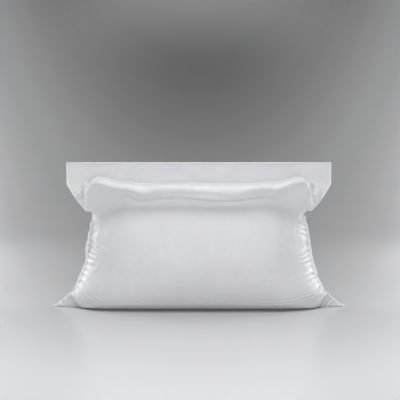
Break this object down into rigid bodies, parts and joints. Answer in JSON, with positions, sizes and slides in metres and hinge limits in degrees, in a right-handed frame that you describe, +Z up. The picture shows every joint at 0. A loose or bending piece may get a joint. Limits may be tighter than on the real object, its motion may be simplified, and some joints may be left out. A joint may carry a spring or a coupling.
{
  "type": "bed pillow",
  "caption": "White bed pillow standing on its long edge, closed in a two-panel case with puckered side seams, pointed lower corners and a flat header band that folds.",
  "frame": {"origin": "centre of the resting face, midway between the front and the back and between the two lower corners", "axes": "+X along the long edge to the right as seen from the front, -Y towards the front, +Z up from the resting face to the header"},
  "size_m": [0.75, 0.184, 0.368],
  "materials": {
    "case_cloth": "satin",
    "seam_thread": "satin",
    "ticking_cloth": "matte",
    "piping_cord": "matte",
    "label_cloth": "satin",
    "polyester_fibre": "matte",
    "interlining_felt": "matte"
  },
  "bodies": {
    "pillow": {"case_front_panel": "case_cloth", "case_back_panel": "case_cloth", "left_side_seam": "seam_thread", "right_side_seam": "seam_thread", "bottom_seam": "seam_thread", "header_base_seam": "seam_thread", "ticking_front_panel": "ticking_cloth", "ticking_back_panel": "ticking_cloth", "ticking_piping": "piping_cord", "ticking_closing_stitch": "piping_cord", "care_label": "label_cloth", "front_fibre_layer": "polyester_fibre", "fibre_core": "polyester_fibre", "back_fibre_layer": "polyester_fibre"},
    "header": {"header_front_ply": "case_cloth", "header_interlining": "interlining_felt", "header_back_ply": "case_cloth", "header_hem": "case_cloth", "header_hem_stitching": "seam_thread"}
  },
  "joints": [
    {"name": "header_fold", "type": "hinge", "parent": "pillow", "child": "header", "pos_m": [0, 0, 0.322], "axis": [1, 0, 0], "range_deg": [-60, 60], "stiffness_Nm_per_rad": 0.03}
  ]
}
